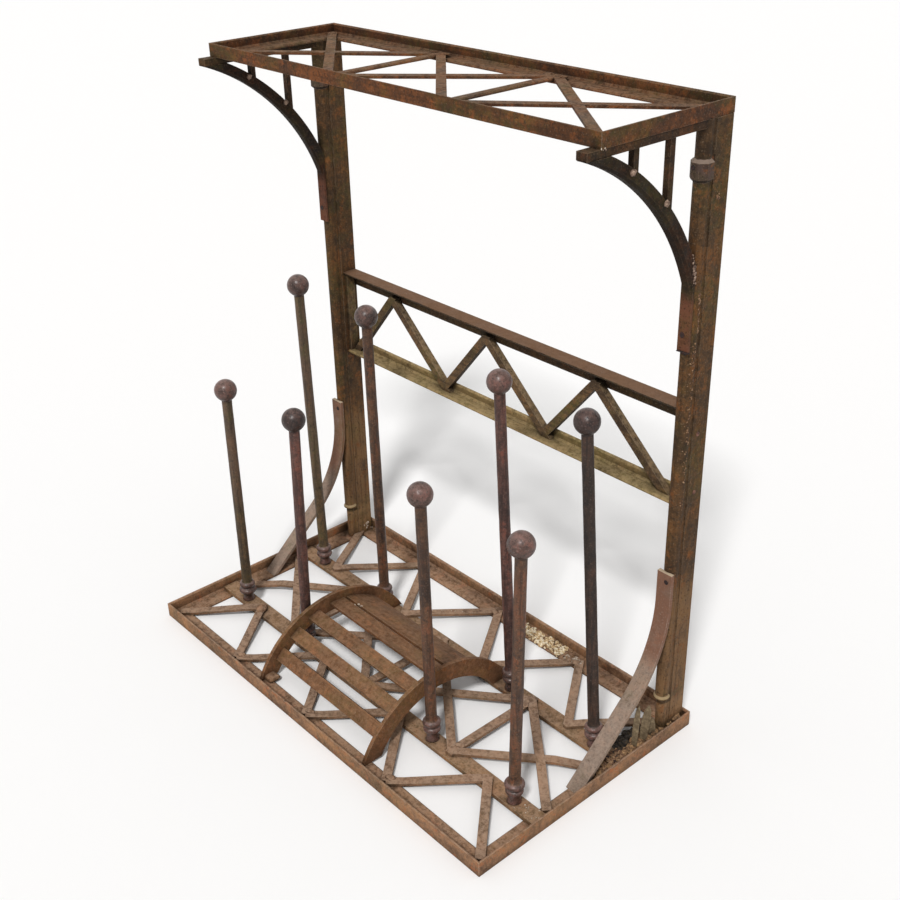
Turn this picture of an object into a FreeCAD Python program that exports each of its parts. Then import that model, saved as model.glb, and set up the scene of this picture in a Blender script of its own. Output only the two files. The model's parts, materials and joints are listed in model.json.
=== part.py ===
import FreeCAD, Part
import math
import os

# Wrought and cast iron boot rack. A latticed tray stands on the floor and carries two rows of ball-topped
# boot posts and an arched boot scraper. Two uprights at the back carry a latticed shelf on bowed brackets,
# and a zigzag truss ties them together.
# Frame: X runs along the rack, +Y to the back, +Z up. The origin is the centre of the footprint, on the
# floor. Everything is in millimetres.

# ---- driving dimensions ---------------------------------------------------------------------------
TRAY_LENGTH = 800.0
TRAY_DEPTH = 438.0
TRAY_FLANGE = (25.0, 4.0)        # height and thickness of the angle's outer flange
TRAY_LEG = (30.0, 5.0)           # width and thickness of the angle's inward leg
ROOT = 3.0                       # bevel in the inner corner of every angle iron

RAIL_WIDTH = 27.0
RAIL_THICKNESS = 7.0
FRONT_RAIL_Y = -96.0
REAR_RAIL_Y = 71.0

BAR_WIDTH = 14.0
BAR_THICKNESS = 5.0
CROSS_BAR_NODES = (-192.5, 0.0, 209.0)    # x of the tray's cross bars, where its braces also meet the rails
# x of each zigzag's points, spaced by the smith's eye: on the tray's leg, then on the post rail
FRONT_ZIGZAG = ((-385.0, -207.0, -13.0, 185.0, 385.0), (-288.0, -101.0, 91.0, 287.0))
REAR_ZIGZAG = ((-385.0, -201.0, -3.0, 188.0, 385.0), (-296.0, -101.0, 93.0, 286.0))
LEG_NODE_INSET = 16.0            # from the tray's outer edge to the nodes on its legs
END_NODE_SHIFT = 21.0            # the end braces land on the side legs, this far inside the rails
RAIL_LAP = 7.0                   # how far a zigzag bar runs past the rail's centre line
NOSE_CUT = 5.0                   # corners clipped off the lapped end
LEG_SEAT = 27.0                  # length of a bar's flat end on a tray leg
RAIL_SEAT = 34.0                 # length of a zigzag bar's flat end on a rail
END_CRANK = 75.0                 # length over which an end brace comes down to the side leg

FRONT_BALL_Z = 435.0
REAR_BALL_Z = 546.0
SHAFT_RADIUS = 8.6
BALL_RADIUS = 18.3
BALL_STEPS = 4                   # straight steps that round each ball
RING_RADIUS = 13.0
RING_HEIGHT = 11.0
RING_LEVELS = (20.0, 31.0)       # ring centres above the rail
STUB_RADIUS = 9.6
# x on the rail, how far use has bent the ball sideways, and its height above or below its row
FRONT_POSTS = ((-332.0, 7.0, -12.0), (-153.5, 20.0, 5.0), (165.0, -6.5, -1.0), (340.5, 11.5, 10.0))
REAR_POSTS = ((-330.5, -10.5, 7.0), (-153.5, -6.5, 4.0), (163.0, -25.0, -6.0), (339.5, -36.0, -7.0))

ARCH_X = 134.0                   # centre plane of each scraper side plate
ARCH_THICKNESS = 6.0
ARCH_CENTRE_Y = -56.5
ARCH_CENTRE_Z = -61.5
ARCH_RADIUS = 163.5
ARCH_DEPTH = 30.0
SLAT_THICKNESS = 5.0
SLAT_RECESS = 14.5               # slat's outer face below the arch's rim
SLATS = ((43.0, 23.0), (59.0, 23.0), (75.5, 23.0), (94.0, 28.0))   # degrees up from the front, width
SCOOP_START = 102.0              # degrees up from the front
SCOOP_SWEEP = 25.0

UPRIGHT_X = 380.0
UPRIGHT_BACK_Y = 212.0
WEB_WIDTH = 20.0
WEB_DEPTH = 30.0
COLONETTE_RADIUS = 10.0
NECK_WIDTH = 17.0                # of the rib that joins colonette and web behind the grooves
STEM_RADIUS = 7.5                # of the colonette's slimmer foot
BEAD_Z = 71.0
BEAD_HEIGHT = 10.0
BEAD_REACH = 2.0                 # beyond the colonette's face
CAPITAL_Z = (850.0, 878.0)
CAPITAL_REACH = 3.5              # beyond the colonette's face
CAPITAL_BEVEL = 4.0
CAPITAL_SIDES = 8

SHELF_LENGTH = 778.0
SHELF_FRONT_Y = -17.0
SHELF_BACK_Y = 214.0
SHELF_Z = 924.5
SHELF_FLANGE = (19.0, 3.5)
SHELF_LEG = (28.0, 4.0)
SHELF_BAR_THICKNESS = 4.0
SHELF_CROSS_X = 116.0
SHELF_NODE_INSET = 14.0
SHELF_BAR_BEVEL = 1.6            # of the cross bars' upper edges

BRACE_WIDTH = 25.0
BRACE_THICKNESS = 6.0
BRACE_FOOT_Y = -19.0
BRACE_SLOPE = 41.3               # degrees above the floor
BRACE_RADIUS = 200.0
BRACE_TOP_Z = 297.0

BRACKET_BAR_WIDTH = 16.0
BRACKET_BAR_HEIGHT = 10.0
BRACKET_TIP_Y = -38.0
BOW_WIDTH = 18.0
BOW_DEPTH = 15.5
BOW_RADIUS = 325.0               # of the front face, about a line along the rack
BOW_CENTRE_Y = -148.0
BOW_CENTRE_Z = 608.0
BOW_BEVEL = 3.5
BOW_FOOT_Z = 633.0
BOW_FOOT_THICKNESS = 2.0
COPE_DEPTH = 1.5                 # how deep braces and bows are coped round the colonette
STRUT_SIZE = (8.5, 8.5)
STRUT_Y = (47.0, 110.0)

TRUSS_BOTTOM_Z = 389.0
TRUSS_TOP_Z = 538.0
TRUSS_LOW_FLANGE = (18.0, 4.0)
TRUSS_HIGH_FLANGE = (28.0, 4.0)
TRUSS_LEG = (26.0, 4.0)
TRUSS_BACK_Y = 211.0
TRUSS_BAR = (13.0, 8.0)          # width and depth
TRUSS_BAR_LAP = 11.0             # how far a bar's top end laps the top rail's flange
TRUSS_NODES = (-254.0, -25.5, 203.0)    # where the vees' points meet the top rail
TRUSS_RUNS = (-100.0, 130.0)     # from a vee's point to its two feet
STILE_WIDTH = 15.0
STILE_THICKNESS = 5.0

# ---- dimensions that follow ------------------------------------------------------------------------
LEG_TOP = TRAY_LEG[1]
RAIL_TOP = LEG_TOP + RAIL_THICKNESS
SIDE_NODE_X = TRAY_LENGTH / 2 - LEG_NODE_INSET
RAIL_END_X = TRAY_LENGTH / 2 - TRAY_FLANGE[1] - ROOT
UPRIGHT_INNER_X = UPRIGHT_X - WEB_WIDTH / 2
WEB_FRONT_Y = UPRIGHT_BACK_Y - WEB_DEPTH
COLONETTE_Y = WEB_FRONT_Y - COLONETTE_RADIUS
COLONETTE_FRONT_Y = COLONETTE_Y - COLONETTE_RADIUS
COPED_Y = COLONETTE_FRONT_Y + COPE_DEPTH
BRACKET_BAR_Z = SHELF_Z - BRACKET_BAR_HEIGHT
SHELF_BAR_Z = SHELF_Z + SHELF_LEG[1]


# ---- helpers ---------------------------------------------------------------------------------------
def vec(x, y, z):
    return FreeCAD.Vector(x, y, z)


def save(name, *solids):
    shape = solids[0] if len(solids) == 1 else Part.makeCompound(list(solids))
    shape.exportStep("parts/" + name + ".step")


def centred(middle, size):
    return (middle - size / 2, middle + size / 2)


def block(x_range, y_range, z_range):
    sizes = [high - low for low, high in (x_range, y_range, z_range)]
    return Part.makeBox(*sizes, vec(x_range[0], y_range[0], z_range[0]))


def line(p, q):
    return Part.LineSegment(p, q).toShape()


def arc(p, q, r):
    return Part.Arc(p, q, r).toShape()


def polygon(points, direction):
    """A straight-sided outline pushed along a direction."""
    return Part.Face(Part.makePolygon(list(points) + [points[0]])).extrude(direction)


def outline(edges, direction):
    """A closed outline of lines and arcs pushed along a direction."""
    return Part.Face(Part.Wire(edges)).extrude(direction)


def biggest(shape):
    return max(shape.Solids, key=lambda solid: solid.Volume)


def mirrored(shape):
    """The same piece at the other end of the rack."""
    return shape.mirror(vec(0, 0, 0), vec(1, 0, 0))


def save_pair(name, right_piece):
    save("right_" + name, right_piece)
    save("left_" + name, mirrored(right_piece))


def trimmed(pieces):
    """Each piece is cut back where it meets one laid before it."""
    laid = []
    for piece in pieces:
        for earlier in laid:
            if piece.BoundBox.intersect(earlier.BoundBox):
                piece = biggest(piece.cut(earlier))
        laid.append(piece)
    return laid


def point_on(centre_y, centre_z, radius, degrees, x=0.0):
    """A point on a circle in a plane across the rack, the angle rising from +Y."""
    angle = math.radians(degrees)
    return vec(x, centre_y + radius * math.cos(angle), centre_z + radius * math.sin(angle))


# ---- angle iron ------------------------------------------------------------------------------------
def angle_iron(length, flange, leg):
    """Angle iron along X, its outer face on y = 0 and its leg along +Y on z = 0."""
    height, flange_t = flange
    width, leg_t = leg
    flange_toe = flange_t / 2
    leg_toe = leg_t / 2
    section = [(0, 0), (width, 0), (width, leg_t - leg_toe), (width - leg_toe, leg_t)]
    section += [(flange_t + ROOT, leg_t), (flange_t, leg_t + ROOT)]
    section += [(flange_t, height - flange_toe), (flange_t - flange_toe, height), (0, height)]
    return polygon([vec(-length / 2, y, z) for y, z in section], vec(length, 0, 0))


def angle_frame(name, length, depth, centre_y, base_z, flange, leg):
    """Four angle irons mitred into a rectangle, flanges outside and legs inward at the bottom."""
    width = leg[0]
    for side, turn, run, across in (("front", 0, length, depth), ("right", 90, depth, length),
                                    ("rear", 180, length, depth), ("left", 270, depth, length)):
        mitre = [vec(-run / 2, 0, 0), vec(run / 2, 0, 0),
                 vec(run / 2 - width, width, 0), vec(width - run / 2, width, 0)]
        piece = angle_iron(run, flange, leg).common(polygon(mitre, vec(0, 0, flange[0])))
        piece.translate(vec(0, -across / 2, 0))
        piece.rotate(vec(0, 0, 0), vec(0, 0, 1), turn)
        piece.translate(vec(0, centre_y, base_z))
        save(name + "_" + side + "_angle", biggest(piece))


# ---- lattice bars ----------------------------------------------------------------------------------
def flat_bar(start, end, levels, seats, thickness, nosed=False):
    """A flat bar between two plan points, cranked so that each end lies flat at its own level."""
    along = vec(end[0] - start[0], end[1] - start[1], 0)
    length = along.Length
    half = BAR_WIDTH / 2
    bottom = [(0.0, levels[0]), (length, levels[1])]
    if levels[0] != levels[1]:
        bottom[1:1] = [(seats[0], levels[0]), (length - seats[1], levels[1])]
    top = [(s, z + thickness) for s, z in reversed(bottom)]
    bar = polygon([vec(s, -half, z) for s, z in bottom + top], vec(0, BAR_WIDTH, 0))
    if nosed:
        shoulder = length - NOSE_CUT
        plan = [vec(0, -half, 0), vec(shoulder, -half, 0), vec(length, NOSE_CUT - half, 0),
                vec(length, half - NOSE_CUT, 0), vec(shoulder, half, 0), vec(0, half, 0)]
        bar = bar.common(polygon(plan, vec(0, 0, max(levels) + thickness)))
    bar.rotate(vec(0, 0, 0), vec(0, 0, 1), math.degrees(math.atan2(along.y, along.x)))
    bar.translate(vec(start[0], start[1], 0))
    return bar


def level_bar(start, end, level, thickness):
    return flat_bar(start, end, (level, level), (0.0, 0.0), thickness)


def halved(under, over, level, thickness):
    """Two crossing bars, each notched to half its thickness so that they lie flush."""
    crossing = under.common(over)
    size = crossing.BoundBox
    lower_half = block((size.XMin, size.XMax), (size.YMin, size.YMax), (level, level + thickness / 2))
    over_notch = crossing.common(lower_half)
    return under.cut(crossing.cut(lower_half)), over.cut(over_notch)


def save_crossed_lattice(name, cross_bars, crossings, level, thickness):
    """Cross bars, then the braces that rise to the right, then those that fall, trimmed where they meet."""
    pairs = [halved(under, over, level, thickness) for under, over in crossings]
    rising = [pair[0] for pair in pairs]
    falling = [pair[1] for pair in pairs]
    pieces = trimmed(cross_bars + rising + falling)
    names = ["cross_bar_%d" % (i + 1) for i in range(len(cross_bars))]
    names += ["rising_brace_%d" % (i + 1) for i in range(len(rising))]
    names += ["falling_brace_%d" % (i + 1) for i in range(len(falling))]
    for piece_name, piece in zip(names, pieces):
        save(name + "_" + piece_name, piece)


def zigzag_bar(leg_node, rail_node):
    """From a tray leg up onto a post rail, with a clipped nose that laps the rail."""
    along = vec(rail_node[0] - leg_node[0], rail_node[1] - leg_node[1], 0)
    reach = 1 + RAIL_LAP / along.Length
    tip = (leg_node[0] + along.x * reach, leg_node[1] + along.y * reach)
    return flat_bar(leg_node, tip, (LEG_TOP, RAIL_TOP), (LEG_SEAT, RAIL_SEAT), BAR_THICKNESS, nosed=True)


def zigzag_lane(nodes, rail_y, leg_y, obstacles):
    """Bars from the tray's leg to a post rail and back, butted against whatever stands in their way."""
    leg_nodes, rail_nodes = nodes
    bars = []
    for before, x, after in zip(leg_nodes, rail_nodes, leg_nodes[1:]):
        bars.append(zigzag_bar((before, leg_y), (x, rail_y)))
        bars.append(zigzag_bar((after, leg_y), (x, rail_y)))
    return trimmed(obstacles + bars)[len(obstacles):]


def end_brace(rail_node, side_node):
    """A brace of an end cell, from a post rail out and down onto the side leg."""
    length = vec(side_node[0] - rail_node[0], side_node[1] - rail_node[1], 0).Length
    seats = (length - END_CRANK, LEG_SEAT)
    return flat_bar(rail_node, side_node, (RAIL_TOP, LEG_TOP), seats, BAR_THICKNESS)


def end_crossing(inner_x, outer_x):
    """The rising and falling braces of the cell at one end of the tray, seen from its rail nodes."""
    to_rear = end_brace((inner_x, FRONT_RAIL_Y), (outer_x, REAR_RAIL_Y - END_NODE_SHIFT))
    to_front = end_brace((inner_x, REAR_RAIL_Y), (outer_x, FRONT_RAIL_Y + END_NODE_SHIFT))
    return (to_rear, to_front) if outer_x > inner_x else (to_front, to_rear)


def tray_crossings():
    """The braced cells between the post rails."""
    crossings = [end_crossing(CROSS_BAR_NODES[0], -SIDE_NODE_X)]
    for left, right in zip(CROSS_BAR_NODES, CROSS_BAR_NODES[1:]):
        rising = level_bar((left, FRONT_RAIL_Y), (right, REAR_RAIL_Y), RAIL_TOP, BAR_THICKNESS)
        falling = level_bar((left, REAR_RAIL_Y), (right, FRONT_RAIL_Y), RAIL_TOP, BAR_THICKNESS)
        crossings.append((rising, falling))
    crossings.append(end_crossing(CROSS_BAR_NODES[-1], SIDE_NODE_X))
    return crossings


def tray_cross_bars():
    lap = BAR_WIDTH / 2
    return [level_bar((x, FRONT_RAIL_Y - lap), (x, REAR_RAIL_Y + lap), RAIL_TOP, BAR_THICKNESS)
            for x in CROSS_BAR_NODES]


def post_rail(centre_y):
    return block((-RAIL_END_X, RAIL_END_X), centred(centre_y, RAIL_WIDTH), (LEG_TOP, RAIL_TOP))


# ---- boot posts ------------------------------------------------------------------------------------
def ball_profile(centre_z):
    """Radius and level of the turned steps that round the ball, from the shaft up to its pole."""
    start = math.degrees(math.asin(SHAFT_RADIUS / BALL_RADIUS)) - 90
    sweep = 90 - start
    angles = [math.radians(start + sweep * i / BALL_STEPS) for i in range(BALL_STEPS)]
    steps = [(BALL_RADIUS * math.cos(angle), centre_z + BALL_RADIUS * math.sin(angle)) for angle in angles]
    return steps + [(0.0, centre_z + BALL_RADIUS)]


def boot_post(x, y, ball_z, bend):
    """Stub, two turned rings, shaft and ball, turned in one piece and stood on the rail."""
    height = ball_z - RAIL_TOP
    below = -STUB_RADIUS
    profile = [(0.0, below), (STUB_RADIUS, below), (STUB_RADIUS, RING_LEVELS[0] - RING_HEIGHT / 2)]
    for level in RING_LEVELS:
        profile += [(RING_RADIUS, level), (SHAFT_RADIUS, level + RING_HEIGHT / 2)]
    profile += ball_profile(height)
    points = [vec(r, 0, z) for r, z in profile]
    post = Part.Face(Part.makePolygon(points + points[:1])).revolve(vec(0, 0, 0), vec(0, 0, 1), 360)
    post.rotate(vec(0, 0, 0), vec(0, 1, 0), math.degrees(math.atan2(bend, height)))
    post = post.cut(block(centred(0, 4 * STUB_RADIUS), centred(0, 4 * STUB_RADIUS), (2 * below, 0)))
    post.translate(vec(x, y, RAIL_TOP))
    return biggest(post)


# ---- boot scraper ----------------------------------------------------------------------------------
def scraper_arch(x):
    """A side plate bent on edge, its front foot on the tray's leg and its rear foot on the rear rail."""
    x_range = centred(x, ARCH_THICKNESS)
    base = vec(x_range[0], ARCH_CENTRE_Y, ARCH_CENTRE_Z)
    disc = Part.makeCylinder(ARCH_RADIUS, ARCH_THICKNESS, base, vec(1, 0, 0))
    hollow = Part.makeCylinder(ARCH_RADIUS - ARCH_DEPTH, ARCH_THICKNESS, base, vec(1, 0, 0))
    top = ARCH_CENTRE_Z + ARCH_RADIUS
    front = block(x_range, (ARCH_CENTRE_Y - ARCH_RADIUS, ARCH_CENTRE_Y), (LEG_TOP, top))
    rear = block(x_range, (ARCH_CENTRE_Y, ARCH_CENTRE_Y + ARCH_RADIUS), (RAIL_TOP, top))
    return disc.cut(hollow).common(front.fuse(rear)).removeSplitter()


def scraper_slat(angle, width):
    """A flat slat between the side plates, square to the arch."""
    outer = ARCH_CENTRE_Z + ARCH_RADIUS - SLAT_RECESS
    half_length = ARCH_X - ARCH_THICKNESS / 2
    slat = block((-half_length, half_length), centred(ARCH_CENTRE_Y, width), (outer - SLAT_THICKNESS, outer))
    slat.rotate(vec(0, ARCH_CENTRE_Y, ARCH_CENTRE_Z), vec(1, 0, 0), 90 - angle)
    return slat


def scraper_scoop():
    """The wide rolled plate that closes the back of the arch."""
    outer = ARCH_CENTRE_Z + ARCH_RADIUS - SLAT_RECESS
    half_length = ARCH_X - ARCH_THICKNESS / 2
    corners = [vec(x, ARCH_CENTRE_Y, z) for x, z in ((-half_length, outer), (half_length, outer),
                                                     (half_length, outer - SLAT_THICKNESS),
                                                     (-half_length, outer - SLAT_THICKNESS))]
    centre = vec(0, ARCH_CENTRE_Y, ARCH_CENTRE_Z)
    scoop = Part.Face(Part.makePolygon(corners + corners[:1])).revolve(centre, vec(1, 0, 0), -SCOOP_SWEEP)
    scoop.rotate(centre, vec(1, 0, 0), 90 - SCOOP_START)
    return scoop


# ---- uprights --------------------------------------------------------------------------------------
def colonette():
    """Turned front of the upright: slim stem, bead and plain shaft up to the shelf."""
    radius = COLONETTE_RADIUS
    low = BEAD_Z - BEAD_HEIGHT / 2
    high = BEAD_Z + BEAD_HEIGHT / 2
    profile = [(0.0, LEG_TOP), (STEM_RADIUS, LEG_TOP), (STEM_RADIUS, low), (radius + BEAD_REACH, BEAD_Z - 1)]
    profile += [(radius + BEAD_REACH, BEAD_Z + 1), (radius, high), (radius, SHELF_Z), (0.0, SHELF_Z)]
    points = [vec(UPRIGHT_X + r, COLONETTE_Y, z) for r, z in profile]
    face = Part.Face(Part.makePolygon(points + points[:1]))
    return face.revolve(vec(UPRIGHT_X, COLONETTE_Y, 0), vec(0, 0, 1), 360)


def capital():
    """Eight-sided collar below the shelf, bevelled above and below, with a flat side to the front."""
    low, high = CAPITAL_Z
    apothem = COLONETTE_RADIUS + CAPITAL_REACH
    levels = ((low, apothem - CAPITAL_BEVEL), (low + CAPITAL_BEVEL, apothem),
              (high - CAPITAL_BEVEL, apothem), (high, apothem - CAPITAL_BEVEL))
    rims = []
    for z, reach in levels:
        radius = reach / math.cos(math.pi / CAPITAL_SIDES)
        angles = [2 * math.pi * (i + 0.5) / CAPITAL_SIDES for i in range(CAPITAL_SIDES)]
        points = [vec(UPRIGHT_X + radius * math.cos(a), COLONETTE_Y + radius * math.sin(a), z) for a in angles]
        rims.append(Part.makePolygon(points + points[:1]))
    return Part.makeLoft(rims, True, True)


def upright():
    """Cast pilaster: a round colonette in front of a flat web, parted by a shallow groove on each side."""
    web = block(centred(UPRIGHT_X, WEB_WIDTH), (WEB_FRONT_Y, UPRIGHT_BACK_Y), (LEG_TOP, SHELF_Z))
    neck = block(centred(UPRIGHT_X, NECK_WIDTH), (COLONETTE_Y, WEB_FRONT_Y), (LEG_TOP, SHELF_Z))
    return web.multiFuse([neck, colonette(), capital()]).removeSplitter()


# ---- braces and brackets ---------------------------------------------------------------------------
def foot_brace(pilaster):
    """Strip from the side leg that sweeps up onto the colonette, coped round it."""
    x = UPRIGHT_X - BRACE_WIDTH / 2
    slope = math.tan(math.radians(BRACE_SLOPE))
    outer_radius = BRACE_RADIUS + BRACE_THICKNESS
    centre_y = COPED_Y - outer_radius
    turn = BRACE_SLOPE - 90
    tangent_y = point_on(centre_y, 0, BRACE_RADIUS, turn).y
    tangent_z = LEG_TOP + (tangent_y - BRACE_FOOT_Y) * slope
    centre_z = tangent_z - BRACE_RADIUS * math.sin(math.radians(turn))
    heel_y = BRACE_FOOT_Y + BRACE_THICKNESS / math.sin(math.radians(BRACE_SLOPE))

    def on_arc(radius, degrees):
        return point_on(centre_y, centre_z, radius, degrees, x)

    inner_top = vec(x, COPED_Y - BRACE_THICKNESS, BRACE_TOP_Z)
    outer_top = vec(x, COPED_Y, BRACE_TOP_Z)
    edges = [
        line(vec(x, BRACE_FOOT_Y, LEG_TOP), on_arc(BRACE_RADIUS, turn)),
        arc(on_arc(BRACE_RADIUS, turn), on_arc(BRACE_RADIUS, turn / 2), on_arc(BRACE_RADIUS, 0)),
        line(on_arc(BRACE_RADIUS, 0), inner_top),
        line(inner_top, outer_top),
        line(outer_top, on_arc(outer_radius, 0)),
        arc(on_arc(outer_radius, 0), on_arc(outer_radius, turn / 2), on_arc(outer_radius, turn)),
        line(on_arc(outer_radius, turn), vec(x, heel_y, LEG_TOP)),
        line(vec(x, heel_y, LEG_TOP), vec(x, BRACE_FOOT_Y, LEG_TOP)),
    ]
    return biggest(outline(edges, vec(BRACE_WIDTH, 0, 0)).cut(pilaster))


def bracket_bar():
    """Bar under the shelf's side, from the colonette to its tip in front of the shelf."""
    x_range = centred(UPRIGHT_X, BRACKET_BAR_WIDTH)
    return block(x_range, (BRACKET_TIP_Y, COLONETTE_Y), (BRACKET_BAR_Z, SHELF_Z))


def bow_level(radius, y):
    """Level at which an arc of the bow's circle passes over y."""
    return BOW_CENTRE_Z + math.sqrt(radius ** 2 - (y - BOW_CENTRE_Y) ** 2)


def bow_reach(radius, z):
    """y at which an arc of the bow's circle passes a level."""
    return BOW_CENTRE_Y + math.sqrt(radius ** 2 - (z - BOW_CENTRE_Z) ** 2)


def bow_arc(radius, start, end, x):
    """Edge along the bow's circle between two of its points in the plane at x."""
    middle = (start + end) / 2
    angle = math.degrees(math.atan2(middle.z - BOW_CENTRE_Z, middle.y - BOW_CENTRE_Y))
    return arc(start, point_on(BOW_CENTRE_Y, BOW_CENTRE_Z, radius, angle, x), end)


def bracket_bow():
    """Bowed member from the bracket bar's front to the colonette, with a flat foot below it."""
    x = UPRIGHT_X - BOW_WIDTH / 2
    outer = BOW_RADIUS + BOW_DEPTH
    foot_front = COLONETTE_FRONT_Y - BOW_FOOT_THICKNESS
    front_top = vec(x, bow_reach(BOW_RADIUS, BRACKET_BAR_Z), BRACKET_BAR_Z)
    back_top = vec(x, bow_reach(outer, BRACKET_BAR_Z), BRACKET_BAR_Z)
    front_low = vec(x, foot_front, bow_level(BOW_RADIUS, foot_front))
    back_low = vec(x, COPED_Y, bow_level(outer, COPED_Y))
    toe = vec(x, foot_front, BOW_FOOT_Z)
    heel = vec(x, COPED_Y, BOW_FOOT_Z)
    edges = [bow_arc(BOW_RADIUS, front_top, front_low, x), line(front_low, toe), line(toe, heel),
             line(heel, back_low), bow_arc(outer, back_low, back_top, x), line(back_top, front_top)]
    bow = outline(edges, vec(BOW_WIDTH, 0, 0))
    rims = [edge for edge in bow.Edges
            if edge.Curve.TypeId == "Part::GeomCircle" and abs(edge.Curve.Radius - BOW_RADIUS) < BOW_BEVEL]
    return bow.makeChamfer(BOW_BEVEL, rims)


def bracket_struts(bow):
    """Two short struts from the bracket bar to the bow, cut to its slope."""
    struts = []
    for y in STRUT_Y:
        inside_bow = bow_level(BOW_RADIUS + BOW_DEPTH / 2, y)
        x_range = centred(UPRIGHT_X, STRUT_SIZE[0])
        strut = block(x_range, centred(y, STRUT_SIZE[1]), (inside_bow, BRACKET_BAR_Z))
        struts.append(biggest(strut.cut(bow)))
    return struts


# ---- shelf lattice ---------------------------------------------------------------------------------
def rounded_bar(x, front, rear, level):
    """Cross bar with round ends that reach the shelf's flanges, and eased upper edges."""
    bar = level_bar((x, front), (x, rear), level, SHELF_BAR_THICKNESS)
    ends = [Part.makeCylinder(BAR_WIDTH / 2, SHELF_BAR_THICKNESS, vec(x, y, level)) for y in (front, rear)]
    whole = bar.multiFuse(ends).removeSplitter()
    top = level + SHELF_BAR_THICKNESS
    rims = [edge for edge in whole.Edges if edge.BoundBox.ZMin > top - BAR_WIDTH / 100]
    return whole.makeChamfer(SHELF_BAR_BEVEL, rims)


def shelf_lattice():
    front = SHELF_FRONT_Y + SHELF_NODE_INSET
    rear = SHELF_BACK_Y - SHELF_NODE_INSET
    end = SHELF_LENGTH / 2 - SHELF_NODE_INSET
    edges = (-end, -SHELF_CROSS_X, SHELF_CROSS_X, end)
    cross_bars = [rounded_bar(x, front, rear, SHELF_BAR_Z) for x in (-SHELF_CROSS_X, SHELF_CROSS_X)]
    crossings = []
    for left, right in zip(edges, edges[1:]):
        rising = level_bar((left, front), (right, rear), SHELF_BAR_Z, SHELF_BAR_THICKNESS)
        falling = level_bar((left, rear), (right, front), SHELF_BAR_Z, SHELF_BAR_THICKNESS)
        crossings.append((rising, falling))
    save_crossed_lattice("shelf", cross_bars, crossings, SHELF_BAR_Z, SHELF_BAR_THICKNESS)


# ---- back truss ------------------------------------------------------------------------------------
def truss_rail(z, flange, upside_down):
    """Angle between the uprights, its flange at the back and its leg forward."""
    rail = angle_iron(2 * UPRIGHT_INNER_X, flange, TRUSS_LEG)
    rail.rotate(vec(0, 0, 0), vec(0, 0, 1), 180)
    if upside_down:
        rail.rotate(vec(0, 0, 0), vec(0, 1, 0), 180)
    rail.translate(vec(0, TRUSS_BACK_Y, z))
    return rail


def truss_bar(foot_x, point_x, low, high):
    """A bar on the rails' flanges, standing on the bottom rail's leg, its ends cut level."""
    width, depth = TRUSS_BAR
    y = TRUSS_BACK_Y - TRUSS_LOW_FLANGE[1] - ROOT - depth
    half_node = width / 3
    along = vec(point_x - foot_x, 0, high - low - 2 * half_node)
    along.normalize()
    across = vec(along.z, 0, -along.x) * (width / 2)
    reach = along * width
    start = vec(foot_x, y, low + half_node) - reach
    end = vec(point_x, y, high - half_node) + reach
    bar = polygon([start - across, end - across, end + across, start + across], vec(0, depth + ROOT, 0))
    return bar.common(block((-UPRIGHT_INNER_X, UPRIGHT_INNER_X), (y, y + depth + ROOT), (low, high)))


def truss_bars(obstacles):
    """The vees, point up, trimmed where they meet the obstacles and one another."""
    low = TRUSS_BOTTOM_Z + TRUSS_LEG[1]
    high = TRUSS_TOP_Z - TRUSS_HIGH_FLANGE[0] + TRUSS_BAR_LAP
    bars = [truss_bar(node + run, node, low, high) for node in TRUSS_NODES for run in TRUSS_RUNS]
    return trimmed(obstacles + bars)[len(obstacles):]


def truss_stile():
    back = TRUSS_BACK_Y - TRUSS_LOW_FLANGE[1] - ROOT
    return block((UPRIGHT_INNER_X - STILE_THICKNESS, UPRIGHT_INNER_X), (back - STILE_WIDTH, back),
                 (TRUSS_BOTTOM_Z + TRUSS_LEG[1], TRUSS_TOP_Z - TRUSS_LEG[1]))


# ---- build -----------------------------------------------------------------------------------------
def build_tray(pilasters):
    angle_frame("tray", TRAY_LENGTH, TRAY_DEPTH, 0.0, 0.0, TRAY_FLANGE, TRAY_LEG)
    save("front_post_rail", post_rail(FRONT_RAIL_Y))
    save("rear_post_rail", post_rail(REAR_RAIL_Y))
    leg_y = TRAY_DEPTH / 2 - LEG_NODE_INSET
    save("front_zigzag_bars", *zigzag_lane(FRONT_ZIGZAG, FRONT_RAIL_Y, -leg_y, []))
    save("rear_zigzag_bars", *zigzag_lane(REAR_ZIGZAG, REAR_RAIL_Y, leg_y, pilasters))
    save_crossed_lattice("tray", tray_cross_bars(), tray_crossings(), RAIL_TOP, BAR_THICKNESS)


def build_posts():
    for row, y, ball_z, posts in (("front", FRONT_RAIL_Y, FRONT_BALL_Z, FRONT_POSTS),
                                  ("rear", REAR_RAIL_Y, REAR_BALL_Z, REAR_POSTS)):
        for i, (x, bend, extra) in enumerate(posts):
            save("%s_boot_post_%d" % (row, i + 1), boot_post(x, y, ball_z + extra, bend))


def build_scraper():
    save("scraper_left_arch", scraper_arch(-ARCH_X))
    save("scraper_right_arch", scraper_arch(ARCH_X))
    save("scraper_slats", *[scraper_slat(angle, width) for angle, width in SLATS])
    save("scraper_scoop", scraper_scoop())


def build_back(pilaster):
    bow = biggest(bracket_bow().cut(pilaster))
    save_pair("upright", pilaster)
    save_pair("foot_brace", foot_brace(pilaster))
    save_pair("bracket_bar", biggest(bracket_bar().cut(pilaster)))
    save_pair("bracket_bow", bow)
    struts = Part.makeCompound(bracket_struts(bow))
    save("right_bracket_struts", *struts.Solids)
    save("left_bracket_struts", *mirrored(struts).Solids)


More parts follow.
